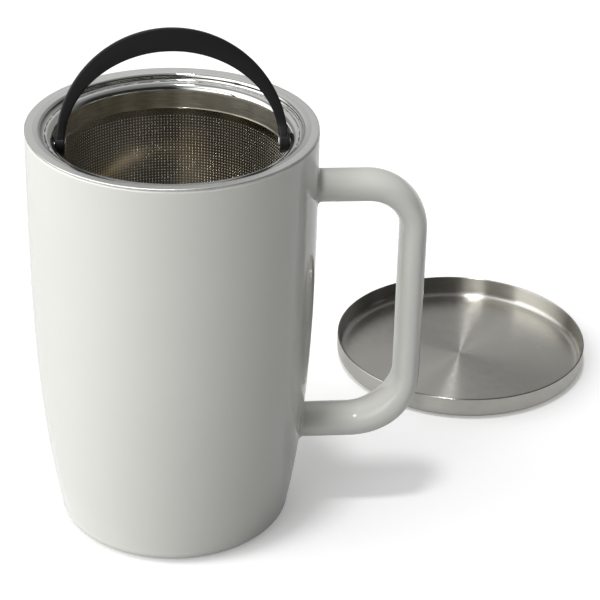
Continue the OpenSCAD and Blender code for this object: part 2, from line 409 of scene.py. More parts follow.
POLISHED = Steel("polished_steel", "polished_steel", (0.72, 0.72, 0.70), (0.66, 0.66, 0.64), 0.10,
                 ring_scale=1200.0, ring_relief=0.02)
# The neck's two colours draw tall streaks of painted reflection as well as its brushing
NECK = Steel("satin_neck", "polished_steel", (0.74, 0.70, 0.60), (0.44, 0.41, 0.34), 0.36, anisotropy=0.6,
             brushed=True)
SHEET = Steel("perforated_sheet", "perforated_steel", (0.55, 0.53, 0.475), (0.50, 0.48, 0.43), 0.12)
CUP = Steel("drawn_steel", "perforated_steel", (0.56, 0.50, 0.37), (0.52, 0.46, 0.34), 0.14)
FLANGE = Steel("spun_flange", "polished_steel", (0.84, 0.84, 0.82), (0.79, 0.79, 0.77), 0.34)
RIVET = Steel("rivet_steel", "rivet_steel", (0.74, 0.74, 0.73), (0.68, 0.68, 0.67), 0.2)


# ---------------------------------------------------------------------------------------------------- meshes


def arc(centre: tuple[float, float], radius: float, start: float, end: float, steps: int = 10) -> np.ndarray:
    """Points on an arc: the centre plus the radius turned from one angle to the other.

    Args:
        centre: the arc's centre.
        radius: its radius.
        start: the first angle, in degrees.
        end: the last angle, in degrees.
        steps: how many chords it has.

    Returns:
        An array of steps + 1 points.
    """
    a = np.radians(np.linspace(start, end, steps + 1))
    return np.stack([centre[0] + radius * np.cos(a), centre[1] + radius * np.sin(a)], axis=1)


def rounded(corners: Sequence[tuple[float, float, float]], closed: bool = True, steps: int = 8) -> np.ndarray:
    """An outline with round corners.

    At each corner the two sides are cut back by radius * tan(half the turn) and an arc takes the corner. A point
    a little way along each side holds the flat face next to its arc.

    Args:
        corners: x, z and radius of each corner, in order.
        closed: whether the last corner joins the first.
        steps: chords in each arc.

    Returns:
        The outline's points.
    """
    points: list[np.ndarray] = []
    count = len(corners)
    for i, (x, z, radius) in enumerate(corners):
        here = np.array([x, z])
        if radius <= 0 or (not closed and i in (0, count - 1)):
            points.append(here[None])
            continue
        before = np.array(corners[i - 1][:2]) - here
        after = np.array(corners[(i + 1) % count][:2]) - here
        room = min(np.linalg.norm(before), np.linalg.norm(after))
        before, after = before / np.linalg.norm(before), after / np.linalg.norm(after)
        half = math.acos(float(np.clip(before @ after, -1, 1))) / 2
        cut = radius / math.tan(half)
        middle = here + (before + after) / np.linalg.norm(before + after) * radius / math.sin(half)
        a0, a1 = (math.atan2(*(here + d * cut - middle)[::-1]) for d in (before, after))
        sweep = (a1 - a0 + math.pi) % (2 * math.pi) - math.pi
        a = a0 + sweep * np.linspace(0, 1, steps + 1)
        bend = np.stack([middle[0] + radius * np.cos(a), middle[1] + radius * np.sin(a)], axis=1)
        hold = min(0.35 * radius, max(0.0, 0.3 * (room - cut)))
        if hold > 1e-6:
            bend = np.concatenate([[bend[0] + before * hold], bend, [bend[-1] + after * hold]])
        points.append(bend)
    return np.concatenate(points)


def smooth_step(x: np.ndarray) -> np.ndarray:
    """Eases a value between 0 and 1: three of its squares less two of its cubes."""
    return x ** 2 * (3 - 2 * x)


def grid_faces(rows: int, cols: int, closed: bool = False) -> np.ndarray:
    """Quads between neighbours on a grid of points stored row by row, where each row is a ring.

    Args:
        rows: rows of points.
        cols: points in a row.
        closed: whether the last row joins the first.

    Returns:
        An array of four indices a face.
    """
    i = np.arange(rows if closed else rows - 1)[:, None]
    j = np.arange(cols)[None, :]
    i1, j1 = (i + 1) % rows, (j + 1) % cols
    return np.stack([i * cols + j, i * cols + j1, i1 * cols + j1, i1 * cols + j], axis=-1).reshape(-1, 4)


def fan(hub: int, start: int, count: int, flip: bool = False) -> np.ndarray:
    """Triangles between a hub and a ring of points.

    Args:
        hub: the hub's index.
        start: index of the ring's first point.
        count: points in the ring.
        flip: whether the triangles run against the ring's order.

    Returns:
        An array of three indices a face.
    """
    j = start + np.arange(count)
    k = np.roll(j, -1)
    return np.stack([np.full(count, hub), k, j] if flip else [np.full(count, hub), j, k], axis=1)


def signed_volume(points: np.ndarray, faces: Sequence[np.ndarray]) -> float:
    """Volume inside a closed skin: a sixth of the triple product, summed over its triangles.

    Args:
        points: the skin's points.
        faces: arrays of faces, each of one count of corners.

    Returns:
        The volume, negative where the faces point inwards.
    """
    total = 0.0
    for group in faces:
        for k in range(1, group.shape[1] - 1):
            a, b, c = points[group[:, 0]], points[group[:, k]], points[group[:, k + 1]]
            total += float(np.einsum("ij,ij->", a, np.cross(b, c)))
    return total / 6


def place(name: str, data: bpy.types.ID) -> bpy.types.Object:
    """Puts new data into the scene, as an object at the origin."""
    thing = bpy.data.objects.new(name, data)
    bpy.context.scene.collection.objects.link(thing)
    return thing


def build(name: str, points: np.ndarray, *faces: np.ndarray, shade: Shade = Shade.CRISP) -> bpy.types.Object:
    """Puts a closed skin into a mesh object at the origin, its faces pointing outwards.

    Args:
        name: the piece's name.
        points: its points, one row each.
        *faces: arrays of faces, each of one count of corners.
        shade: how its edges are shaded.

    Returns:
        The piece.
    """
    points = np.asarray(points, float)
    if signed_volume(points, faces) < 0:
        faces = tuple(group[:, ::-1] for group in faces)
    mesh = bpy.data.meshes.new(name)
    mesh.vertices.add(len(points))
    mesh.vertices.foreach_set("co", points.astype(np.float32).ravel())
    corners = np.concatenate([group.ravel() for group in faces]).astype(np.int32)
    sizes = np.concatenate([np.full(len(group), group.shape[1]) for group in faces])
    mesh.loops.add(len(corners))
    mesh.polygons.add(len(sizes))
    mesh.polygons.foreach_set("loop_start", (np.cumsum(sizes) - sizes).astype(np.int32))
    mesh.polygons.foreach_set("vertices", corners)
    mesh.update(calc_edges=True)
    mesh.validate()
    mesh.shade_smooth()
    if shade is Shade.CRISP:
        mesh.set_sharp_from_angle(angle=math.radians(shade.value))
    return place(name, mesh)


def revolve(outline: np.ndarray, sides: int, poles: bool) -> tuple[np.ndarray, list[np.ndarray]]:
    """Turns an outline about Z: x = r cos a, y = r sin a, with z kept.

    Args:
        outline: radius and height of each point. With poles, the first and last lie on the axis.
        sides: steps round the axis.
        poles: whether the outline is open and ends on the axis, or a closed ring.

    Returns:
        The points and their arrays of faces.
    """
    a = np.linspace(0, 2 * math.pi, sides, endpoint=False)
    ring = outline[1:-1] if poles else outline
    x = ring[:, 0, None] * np.cos(a)
    y = ring[:, 0, None] * np.sin(a)
    z = np.broadcast_to(ring[:, 1, None], x.shape)
    points = np.stack([x, y, z], axis=-1).reshape(-1, 3)
    faces = [grid_faces(len(ring), sides, closed=not poles)]
    if poles:
        count = len(points)
        points = np.concatenate([points, [[0.0, 0.0, outline[0, 1]], [0.0, 0.0, outline[-1, 1]]]])
        faces += [fan(count, 0, sides, flip=True), fan(count + 1, count - sides, sides)]
    return points, faces


def lathe(name: str, outline: np.ndarray, sides: int, poles: bool = False) -> bpy.types.Object:
    """Builds the piece that an outline makes when it is turned about Z."""
    points, faces = revolve(outline, sides, poles)
    return build(name, points, *faces)


def along_pivot(points: np.ndarray, side: Side) -> np.ndarray:
    """Lays points that were turned about Z along the bail's pivot axis, towards one of its ends."""
    return np.stack([side.value * points[:, 2], points[:, 0], points[:, 1]], axis=1)


def dress(piece: bpy.types.Object, material: bpy.types.Material, slot: str, body: str, *nodes: str) -> None:
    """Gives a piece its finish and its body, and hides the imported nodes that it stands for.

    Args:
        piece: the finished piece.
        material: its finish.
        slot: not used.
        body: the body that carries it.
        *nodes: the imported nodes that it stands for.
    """
    piece.data.materials.append(material)
    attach(piece, body)
    if nodes:
        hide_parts(*nodes)
    LOG.info("%s: %d faces, on %s", piece.name, len(piece.data.polygons), body)


def box_size(node: str) -> tuple[np.ndarray, np.ndarray]:
    """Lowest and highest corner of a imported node, as arrays."""
    low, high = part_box(node)
    return np.array(low), np.array(high)


# ------------------------------------------------------------------------------------------------------- mug


@dataclass
class Mug:
    """The ceramic body and the handle that is luted to it."""

    height: float = 131.4 * MM
    mouth_r: float = 43.5 * MM
    taper: float = 7.9 * MM
    taper_power: float = 3.44
    wall: float = 3.8 * MM
    floor: float = 6.0 * MM
    foot_edge_r: float = 4.0 * MM
    floor_corner_r: float = 9.0 * MM
    foot_ring_w: float = 4.2 * MM
    foot_recess: float = 1.4 * MM
    mouth_edge_r: float = 0.7 * MM
    arm_top_z: float = 111.6 * MM
    arm_low_z: float = 28.8 * MM
    grip_x: float = 73.15 * MM
    corner_top_r: float = 14.6 * MM
    corner_low_r: float = 18.0 * MM
    handle_w: float = 13.8 * MM
    grip_t: float = 8.3 * MM
    arm_top_t: float = 8.6 * MM
    arm_low_t: float = 9.2 * MM
    corner_swell: float = 1.5 * MM
    section_power: float = 0.86
    fillet_r: float = 1.3 * MM
    sides: int = 320
    glaze: Glaze = field(default_factory=Glaze)

    def side_r(self, z: np.ndarray | float) -> np.ndarray | float:
        """Outer radius at a height: the mouth's, less the taper by a power of the depth below the mouth."""
        return self.mouth_r - self.taper * ((self.height - z) / self.height) ** self.taper_power

    def body_outline(self) -> np.ndarray:
        """Half section of the body, from the axis under the foot round to the axis on the floor inside.

        Returns:
            Radius and height of each point.
        """
        foot_r = self.side_r(self.foot_edge_r) - self.foot_edge_r
        ring_in = foot_r - self.foot_ring_w
        soft = 0.5 * MM
        under = np.array([[0.0, self.foot_recess], [ring_in * 0.5, self.foot_recess],
                          [ring_in - 3 * soft, self.foot_recess],
                          [ring_in - 2 * soft, self.foot_recess - 0.1 * soft],
                          [ring_in - soft, self.foot_recess * 0.5], [ring_in - 0.4 * soft, 0.12 * MM],
                          [ring_in, 0.0], [foot_r - soft, 0.0]])
        edge, lip_z = self.mouth_edge_r, self.height - self.mouth_edge_r
        z = self.foot_edge_r + (lip_z - self.foot_edge_r) * np.linspace(0, 1, 72)[1:] ** 1.2
        outside = np.stack([self.side_r(z), z], axis=1)
        lip = arc((self.mouth_r - edge, lip_z), edge, 0, 90, 6)
        inner_r = self.mouth_r - self.wall
        lip_in = arc((inner_r + edge, lip_z), edge, 90, 180, 6)
        corner_z = self.floor + self.floor_corner_r
        corner_x = self.side_r(corner_z) - self.wall - self.floor_corner_r
        down = corner_z + (self.height - 2 * edge - corner_z) * np.linspace(1, 0, 60) ** 1.2
        inside = np.stack([self.side_r(down) - self.wall, down], axis=1)
        corner = arc((corner_x, corner_z), self.floor_corner_r, 0, -90, 12)[1:]
        hub = np.array([[corner_x * 0.97, self.floor], [corner_x * 0.5, self.floor], [0.0, self.floor]])
        return np.concatenate([under, arc((foot_r, self.foot_edge_r), self.foot_edge_r, -90, 0, 14), outside, lip,
                               lip_in, inside, corner, hub])

    def make_body(self) -> bpy.types.Object:
        """Turns the body's half section about the axis."""
        return lathe("mug_body_glazed", self.body_outline(), self.sides, poles=True)

    def centre_line(self) -> tuple[np.ndarray, np.ndarray]:
        """The handle's centre line: out along the upper arm, down the grip and back along the lower arm.

        Returns:
            Points in the XZ plane between the two arms' fillets, and the line's direction at each, in degrees.
        """
        top = (self.grip_x - self.corner_top_r, self.arm_top_z - self.corner_top_r)
        low = (self.grip_x - self.corner_low_r, self.arm_low_z + self.corner_low_r)
        clear = 2.2 * self.fillet_r
        start, end = self.mouth_r + clear, float(self.side_r(self.arm_low_z)) + clear
        arm = np.linspace(start, top[0], 10)[:-1]
        back = np.linspace(low[0], end, 10)[1:]
        drop = np.linspace(top[1], low[1], 26)[1:-1]
        points = np.concatenate([
            np.stack([arm, np.full_like(arm, self.arm_top_z)], axis=1),
            arc(top, self.corner_top_r, 90, 0, 20),
            np.stack([np.full_like(drop, self.grip_x), drop], axis=1),
            arc(low, self.corner_low_r, 0, -90, 20),
            np.stack([back, np.full_like(back, self.arm_low_z)], axis=1),
        ])
        turns = np.concatenate([np.zeros(len(arm)), np.linspace(0, -90, 21), np.full(len(drop), -90.0),
                                np.linspace(-90, -180, 21), np.full(len(back), -180.0)])
        return points, turns

    def thickness(self, turn: np.ndarray) -> np.ndarray:
        """Thickness across the centre line, which grows from the grip into both arms by a smooth step.

        The lower corner swells further, by the square of a sine that is zero at both its ends.

        Args:
            turn: the line's direction, in degrees: 0 on the upper arm, -90 on the grip, -180 on the lower arm.

        Returns:
            The thickness at each.
        """
        up = np.clip((turn + 90) / 90, 0, 1)
        low = np.clip((-90 - turn) / 90, 0, 1)
        return (self.grip_t + (self.arm_top_t - self.grip_t) * smooth_step(up)
                + (self.arm_low_t - self.grip_t) * smooth_step(low)
                + self.corner_swell * np.sin(np.radians(180 * low)) ** 2)

    def make_handle(self) -> bpy.types.Object:
        """Sweeps the rounded section along the centre line and flares both ends on to the body.

        Each section is a superellipse across the line. Near the body the section stands off the wall by d and
        grows by R - sqrt(R^2 - (R - d)^2), a fillet of radius R, and its last ring lies on the wall itself.

        Returns:
            The handle.
        """
        count = 64
        a = np.linspace(0, 2 * math.pi, count, endpoint=False)
        across = np.sign(np.sin(a)) * np.abs(np.sin(a)) ** self.section_power
        side = np.sign(np.cos(a)) * np.abs(np.cos(a)) ** self.section_power
        line, turns = self.centre_line()
        half = self.thickness(turns)[:, None] / 2
        t = np.radians(turns)[:, None]
        x = line[:, 0, None] - half * across * np.sin(t)
        z = line[:, 1, None] + half * across * np.cos(t)
        y = np.broadcast_to(self.handle_w / 2 * side, x.shape)
        skin = np.stack([x, y, z], axis=-1)
        d = self.fillet_r * np.array([1.0, 0.8, 0.6, 0.42, 0.27, 0.15, 0.06, 0.0])
        grow = self.fillet_r - np.sqrt(self.fillet_r ** 2 - (self.fillet_r - d) ** 2)

        def flare(arm_z: float, thick: float, sign: float) -> np.ndarray:
            """Rings of the fillet between an arm and the wall, from the arm inwards."""
            yy = (self.handle_w / 2 + grow[:, None]) * side
            zz = arm_z + sign * (thick / 2 + grow[:, None]) * across
            wall = np.sqrt(self.side_r(zz) ** 2 - yy ** 2)
            return np.stack([wall + d[:, None], yy, zz], axis=-1)

        top = flare(self.arm_top_z, self.arm_top_t, 1.0)[::-1]
        low = flare(self.arm_low_z, self.arm_low_t, -1.0)
        skin = np.concatenate([top, skin, low])
        rows = len(skin)
        points = np.concatenate([skin.reshape(-1, 3), [skin[0].mean(axis=0)], [skin[-1].mean(axis=0)]])
        caps = fan(rows * count, 0, count, flip=True), fan(rows * count + 1, (rows - 1) * count, count)
        return build("mug_handle_glazed", points, grid_faces(rows, count), *caps, shade=Shade.ROUND)

    def make(self) -> None:
        """Builds and dresses both pieces."""
        glaze = self.glaze.material()
        dress(self.make_body(), glaze, self.glaze.slot, "mug", "mug_body")
        dress(self.make_handle(), glaze, self.glaze.slot, "mug", "mug_handle")


# --------------------------------------------------------------------------------------------------- infuser


@dataclass
class Infuser:
    """The steel rim, the perforated basket that hangs in it and the bail's two rivets."""

    seat_z: float = 131.4 * MM
    rim_t: float = 0.6 * MM
    ring_dish: float = 0.22 * MM
    ring_r: float = 43.4 * MM
    recess_wall_r: float = 38.6 * MM
    ledge_drop: float = 2.1 * MM
    ring_bend_r: float = 1.0 * MM
    recess_bend_r: float = 0.8 * MM
    neck_bend_r: float = 2.2 * MM
    neck_r: float = 34.9 * MM
    neck_low_z: float = 119.9 * MM
    satin_below_z: float = 128.0 * MM
    polish_r: float = 41.0 * MM
    sheet_t: float = 0.3 * MM
    sheet_top_z: float = 122.2 * MM
    basket_low_z: float = 76.0 * MM
    cup_t: float = 0.5 * MM
    cup_h: float = 5.0 * MM
    cup_corner_r: float = 2.4 * MM
    hole_cols: int = 224
    hole_rows: int = 39
    hole_bands: int = 3
    hole_d: float = 0.40 * MM
    bevel_w: float = 0.10 * MM
    bevel_depth: float = 0.14 * MM
    hole_corners: int = 8
    first_row_z: float = 119.5 * MM
    base_holes_r: float = 30.0 * MM
    pivot_z: float = 126.0 * MM
    eye_in_x: float = 31.7 * MM
    shank_r: float = 1.0 * MM
    head_r: float = 2.0 * MM
    inner_head_t: float = 0.4 * MM
    outer_head_t: float = 0.5 * MM
    weld_gap: float = 0.01 * MM
    floor_inset: float = 0.02 * MM
    level_play: float = 0.05 * MM
    sides: int = 288

    @property
    def sheet_r(self) -> tuple[float, float]:
        """Inner and outer radius of the basket's sheet."""
        return self.neck_r - self.sheet_t, self.neck_r - self.weld_gap

    def rim_outline(self) -> np.ndarray:
        """Closed section of the drawn sheet: the ring, the recess wall, the ledge and the neck.

        Returns:
            Radius and height of each point.
        """
        top = self.seat_z + self.rim_t
        ledge = top - self.ledge_drop
        t = self.rim_t
        edge = t * 0.49
        return rounded([
            (self.ring_r, self.seat_z, edge), (self.ring_r, top, edge),
            (self.polish_r, top - 0.2 * self.ring_dish, 0.0),
            (self.recess_wall_r, top - self.ring_dish, self.ring_bend_r),
            (self.recess_wall_r, ledge, self.recess_bend_r),
            (self.neck_r, ledge, self.neck_bend_r), (self.neck_r, self.neck_low_z, 0.12 * MM),
            (self.neck_r + t, self.neck_low_z, 0.12 * MM), (self.neck_r + t, ledge - t, self.neck_bend_r - t),
            (self.recess_wall_r + t, ledge - t, self.recess_bend_r + t),
            (self.recess_wall_r + t, self.seat_z, self.ring_bend_r - t),
        ])

    def make_rim(self) -> bpy.types.Object:
        """Turns the sheet's section about the axis. Its inside is polished; flange, ledge and neck are satin."""
        points, faces = revolve(self.rim_outline(), self.sides, poles=False)
        rim = build("infuser_rim_sheet", points, *faces, shade=Shade.ROUND)
        dress(rim, POLISHED.material(), POLISHED.slot, "infuser", "infuser_rim")
        rim.data.materials.append(NECK.material())
        rim.data.materials.append(FLANGE.material())
        middle = np.concatenate([points[group].mean(axis=1) for group in faces])
        satin = middle[:, 2] < self.satin_below_z
        reach, top = np.hypot(middle[:, 0], middle[:, 1]), self.seat_z + self.rim_t
        flange = (reach > self.polish_r) & (middle[:, 2] > top - self.ring_dish)
        ledge = ((reach > self.neck_r + self.neck_bend_r) & (reach < self.recess_wall_r - self.recess_bend_r)
                 & (abs(middle[:, 2] - top + self.ledge_drop) < self.level_play))
        finish = satin + 2 * (flange | ledge)
        rim.data.polygons.foreach_set("material_index", finish.astype(np.int32))
        return rim

    def plain_band(self, name: str, low: float, high: float) -> bpy.types.Object:
        """A plain closed ring of the basket's sheet between two heights."""
        soft = 0.06 * MM
        (inner, outer), corners = self.sheet_r, []
        for radius, z in ((inner, low), (outer, low), (outer, high), (inner, high)):
            corners.append((radius, z, soft))
        return lathe(name, rounded(corners, steps=3), self.hole_cols)

    def hole_grid(self, u: np.ndarray, v: np.ndarray, kept: np.ndarray, pitch: float,
                  wrap: bool) -> tuple[np.ndarray, np.ndarray, np.ndarray]:
        """A flat plate with a square grid of bevelled round holes, in its own coordinates.

        A tile lies between four neighbouring points of the grid. Its hole is a polygon about the tile's middle.
        On the near face the hole is wider by its bevel, and from the bevel's end it goes straight to the far
        face, which is marked by a depth of -1. Triangles and quads fill each face between a tile's corners and
        its hole.

        Args:
            u: the columns' lines, in the plate's own length.
            v: the rows' lines, falling.
            kept: for each row and column of tiles, whether the plate has that tile.
            pitch: the side of a tile.
            wrap: whether the last column meets the first.

        Returns:
            Points as (u, v, depth), quads and triangles.
        """
        n = self.hole_corners
        rows, cols = kept.shape
        lines = cols if wrap else cols + 1
        grid_u, grid_v = np.meshgrid(u[:lines], v)
        i, j = np.nonzero(kept)
        turn = 2 * math.pi * (np.arange(n) + 0.5) / n
        middle_u, middle_v = u[j] + pitch / 2, v[i] - pitch / 2
        radius = self.hole_d / 2
        rings = []
        for reach, depth in ((radius + self.bevel_w, 0.0), (radius, self.bevel_depth), (radius, -1.0)):
            rings.append(np.stack([(middle_u[:, None] + reach * np.cos(turn)).ravel(),
                                   (middle_v[:, None] + reach * np.sin(turn)).ravel(),
                                   np.full(len(i) * n, depth)], axis=1))
        corners = np.stack([grid_u.ravel(), grid_v.ravel()], axis=1)
        size, ring = len(corners), len(i) * n
        points = np.concatenate([np.column_stack([corners, np.zeros(size)]),
                                 np.column_stack([corners, np.full(size, -1.0)]), *rings])
        j1 = (j + 1) % lines
        # Corners anticlockwise from the upper right, as the hole's points go: the rows run downwards
        tile = [i * lines + j1, i * lines + j, (i + 1) * lines + j, (i + 1) * lines + j1]
        first = np.arange(len(i)) * n
        quads, tris = [], []
        for start, base, flip in ((0, 2 * size, False), (size, 2 * size + 2 * ring, True)):
            hole = [base + first + k for k in range(n)]
            for q in range(4):
                begin = q * n // 4
                for k in range(begin, begin + n // 4 - 1):
                    face = np.stack([start + tile[q], hole[(k + 1) % n], hole[k]], axis=1)
                    tris.append(face[:, ::-1] if flip else face)
                last = begin + n // 4 - 1
                face = np.stack([start + tile[q], start + tile[(q + 1) % 4],
                                 hole[(last + 1) % n], hole[last]], axis=1)
                quads.append(face[:, ::-1] if flip else face)
        for level in (0, 1):
            here = 2 * size + level * ring + first
            for k in range(n):
                after = (k + 1) % n
                quads.append(np.stack([here + k, here + after, here + ring + after, here + ring + k], axis=1))
        # The plate's own edges: every side of a kept tile that no other kept tile shares
        sides = np.concatenate([np.stack([tile[(q + 1) % 4], tile[q]], axis=1) for q in range(4)])
        key, back = sides[:, 0] * size + sides[:, 1], sides[:, 1] * size + sides[:, 0]
        edge = sides[~np.isin(key, back)]
        quads.append(np.stack([edge[:, 0], edge[:, 1], edge[:, 1] + size, edge[:, 0] + size], axis=1))
        return points, np.concatenate(quads), np.concatenate(tris)

    def perforated(self, name: str, points: np.ndarray, quads: np.ndarray, tris: np.ndarray) -> bpy.types.Object:
        """Builds a perforated plate from the points that its faces use.

        Args:
            name: the piece's name.
            points: points in place, with those of tiles that the plate lacks.
            quads: its four-sided faces.
            tris: its triangles.

        Returns:
            The plate.
        """
        used, index = np.unique(np.concatenate([quads.ravel(), tris.ravel()]), return_inverse=True)
        quads, tris = index[:quads.size].reshape(-1, 4), index[quads.size:].reshape(-1, 3)
        return build(name, points[used], quads, tris)

    def hole_band(self, name: str, high: float, rows: int, pitch: float) -> bpy.types.Object:
        """A closed ring of the basket's sheet with its holes.

        The flat plate is rolled up: a point (u, v, depth) lies at angle u / R and height v, and its radius goes
        from the sheet's inner face outwards by its depth.

        Args:
            name: the piece's name.
            high: height of the band's upper edge.
            rows: rows of holes.
            pitch: distance between rows.

        Returns:
            The band.
        """
        cols, (inner, outer) = self.hole_cols, self.sheet_r
        u, v = pitch * np.arange(cols + 1), high - pitch * np.arange(rows + 1)
        flat, quads, tris = self.hole_grid(u, v, np.ones((rows, cols), bool), pitch, wrap=True)
        angle = flat[:, 0] / (pitch * cols) * 2 * math.pi
        radius = np.where(flat[:, 2] < 0, outer, inner + flat[:, 2])
        points = np.stack([radius * np.cos(angle), radius * np.sin(angle), flat[:, 1]], axis=1)
        return self.perforated(name, points, quads, tris)

    def make_wall(self) -> list[bpy.types.Object]:
        """The basket's wall: its plain margins above and below, and the bands of holes between them."""
        pitch = 2 * math.pi * (self.neck_r - self.sheet_t / 2) / self.hole_cols
        high = self.first_row_z + pitch / 2
        pieces = [self.plain_band("basket_upper_margin", high, self.sheet_top_z)]
        left = self.hole_rows
        for band in range(self.hole_bands):
            rows = math.ceil(left / (self.hole_bands - band))
            pieces.append(self.hole_band(f"basket_holes_{band + 1}", high, rows, pitch))
            high -= pitch * rows
            left -= rows
        pieces.append(self.plain_band("basket_lower_margin", self.basket_low_z + self.cup_corner_r, high))
        return pieces

    def make_cup(self) -> bpy.types.Object:
        """The drawn cup's plain rim: its upturned wall, its round corner and the margin round its holes."""
        low, outer = self.basket_low_z, self.sheet_r[0] - self.weld_gap
        inner, top = outer - self.cup_t, low + self.cup_h
        edge, soft = self.base_holes_r, 0.22 * MM
        outline = rounded([(edge, low, 0.0), (outer, low, self.cup_corner_r), (outer, top, soft),
                           (inner, top, soft), (inner, low + self.cup_t, self.cup_corner_r - self.cup_t),
                           (edge, low + self.cup_t, 0.0)])
        return lathe("basket_base_cup", outline, self.hole_cols)

    def make_floor(self, pitch: float) -> bpy.types.Object:
        """The cup's perforated floor: the tiles of a square grid whose corners lie inside the plain rim.

        Args:
            pitch: distance between holes.

        Returns:
            The floor, a little thinner than the rim that holds it.
        """
        reach = self.base_holes_r + 1.2 * MM
        count = 2 * int(reach / pitch)
        lines = pitch * (np.arange(count + 1) - count / 2)
        middles = np.abs(lines[:-1] + pitch / 2)
        kept = np.hypot(*np.meshgrid(middles, middles)) < reach - pitch * 0.75
        flat, quads, tris = self.hole_grid(lines, lines[::-1], kept, pitch, wrap=False)
        high = self.basket_low_z + self.cup_t - self.floor_inset
        z = np.where(flat[:, 2] < 0, self.basket_low_z + self.floor_inset, high - flat[:, 2])
        return self.perforated("basket_base_floor", np.column_stack([flat[:, :2], z]), quads, tris)

    def make_rivet(self, side: Side) -> bpy.types.Object:
        """A rivet: its section turned about the pivot axis, with a domed inner head and a set outer head.

        Args:
            side: which end of the pivot axis it holds.

        Returns:
            The rivet.
        """
        head_in = self.eye_in_x - self.inner_head_t
        out = self.neck_r + self.rim_t
        head_out = out + self.outer_head_t
        outline = rounded([
            (0.0, head_in, 0.0), (self.head_r, head_in, 0.18 * MM), (self.head_r, self.eye_in_x, 0.05 * MM),
            (self.shank_r, self.eye_in_x, 0.0), (self.shank_r, out, 0.0), (self.head_r, out, 0.05 * MM),
            (self.head_r, head_out, 0.3 * MM), (0.0, head_out, 0.0)], closed=False, steps=5)
        points, faces = revolve(outline, 48, poles=True)
        placed = along_pivot(points, side) + (0.0, 0.0, self.pivot_z)
        return build(f"{side.name.lower()}_rivet_steel", placed, *faces)

    def make(self) -> None:
        """Builds and dresses every piece of the infuser."""
        self.make_rim()
        sheet = SHEET.material()
        for piece in self.make_wall():
            dress(piece, sheet, SHEET.slot, "infuser", "basket_wall")
        dress(self.make_cup(), CUP.material(), CUP.slot, "infuser", "basket_base")
        floor = self.make_floor(2 * math.pi * self.neck_r / self.hole_cols)
        dress(floor, sheet, SHEET.slot, "infuser", "basket_base")
        rivet = RIVET.material()
        for side in Side:
            dress(self.make_rivet(side), rivet, RIVET.slot, "infuser", f"{side.name.lower()}_rivet")


# ------------------------------------------------------------------------------------------------------ bail


@dataclass
class Bail:
    """The moulded bail: a flat arch that narrows to its legs, with a round eye at each end."""

    pivot_z: float = 126.0 * MM
    outer_r: float = 34.25 * MM
    leg_in_x: float = 31.7 * MM
    top_w: float = 6.9 * MM
    thickness: float = 2.6 * MM
    lean: float = 15.0
    eye_r: float = 3.2 * MM
    eye_out_x: float = 34.6 * MM
    edge_r: float = 0.55 * MM
    web_h: float = 6.7 * MM
    leg_share: float = 0.86
    leg_swell: float = 0.9
    bore_r: float = 1.05 * MM
    plastic: MouldedPlastic = field(default_factory=MouldedPlastic)

    def stand(self, points: np.ndarray) -> np.ndarray:
        """Leans the bail about its pivot axis and lifts it to the pivots.

        Args:
            points: points with the pivot axis on X and the arch rising along Z.

        Returns:
            The points in place.
        """
        a = math.radians(self.lean)
        x, y, z = points.T
        return np.stack([x, y * math.cos(a) + z * math.sin(a),
                         z * math.cos(a) - y * math.sin(a) + self.pivot_z], axis=1)

    def make_band(self) -> bpy.types.Object:
        """The arch: between a half circle outside and half an ellipse inside, at the band's thickness.

        At angle a the band runs from the ellipse's point to the circle's. Its section is a rectangle with round
        edges, which thickens towards the eyes by a smooth step of the height above the pivot.

        Returns:
            The band.
        """
        a = np.radians(np.linspace(0, 180, 121))
        outer = self.outer_r * np.stack([np.cos(a), np.sin(a)], axis=1)
        inner = np.stack([self.leg_in_x * np.cos(a), (self.outer_r - self.top_w) * np.sin(a)], axis=1)
        width = np.linalg.norm(outer - inner, axis=1)
        reach = (outer - inner) / width[:, None]
        near = np.clip((self.web_h - outer[:, 1]) / (self.web_h - self.eye_r / 2), 0, 1)
        leg_t = self.leg_share * 2 * self.eye_r
        thick = self.thickness + (leg_t - self.thickness) * smooth_step(near) * self.leg_swell
        corner = np.linspace(0, math.pi / 2, 6)
        soft = [(1 - math.cos(c), 1 - math.sin(c)) for c in corner]
        rows = []
        # Each corner of the section, as the end of its width and the side of its thickness, is rounded by edge_r
        for outside, side, flip in ((True, -1, True), (True, 1, False), (False, 1, True), (False, -1, False)):
            for u, v in soft[::-1] if flip else soft:
                along = width - self.edge_r * u if outside else np.full_like(width, self.edge_r * u)
                flat = inner + reach * along[:, None]
                rows.append(np.stack([flat[:, 0], side * (thick / 2 - self.edge_r * v), flat[:, 1]], axis=1))
        skin = np.stack(rows, axis=1)
        count = skin.shape[1]
        caps = [np.arange(count)[None], (len(skin) - 1) * count + np.arange(count)[None, ::-1]]
        return build("bail_band", self.stand(skin.reshape(-1, 3)), grid_faces(len(skin), count), *caps)

    def make_eye(self, side: Side) -> bpy.types.Object:
        """A flat round eye with softened rims, turned about the pivot axis.

        Args:
            side: which end of the bail it is.

        Returns:
            The eye.
        """
        bore, soft = self.bore_r, 0.15 * MM
        outline = rounded([(bore, self.leg_in_x, soft), (self.eye_r, self.leg_in_x, 0.35 * MM),
                           (self.eye_r, self.eye_out_x, 0.5 * MM), (bore, self.eye_out_x, soft)], steps=6)
        points, faces = revolve(outline, 64, poles=False)
        return build(f"bail_eye_{side.name.lower()}", self.stand(along_pivot(points, side)), *faces)

    def make(self) -> None:
        """Builds and dresses the bail."""
        plastic = self.plastic.material()
        dress(self.make_band(), plastic, self.plastic.slot, "bail", "bail")
        for side in Side:
            dress(self.make_eye(side), plastic, self.plastic.slot, "bail", "bail")


# ------------------------------------------------------------------------------------------------------- lid


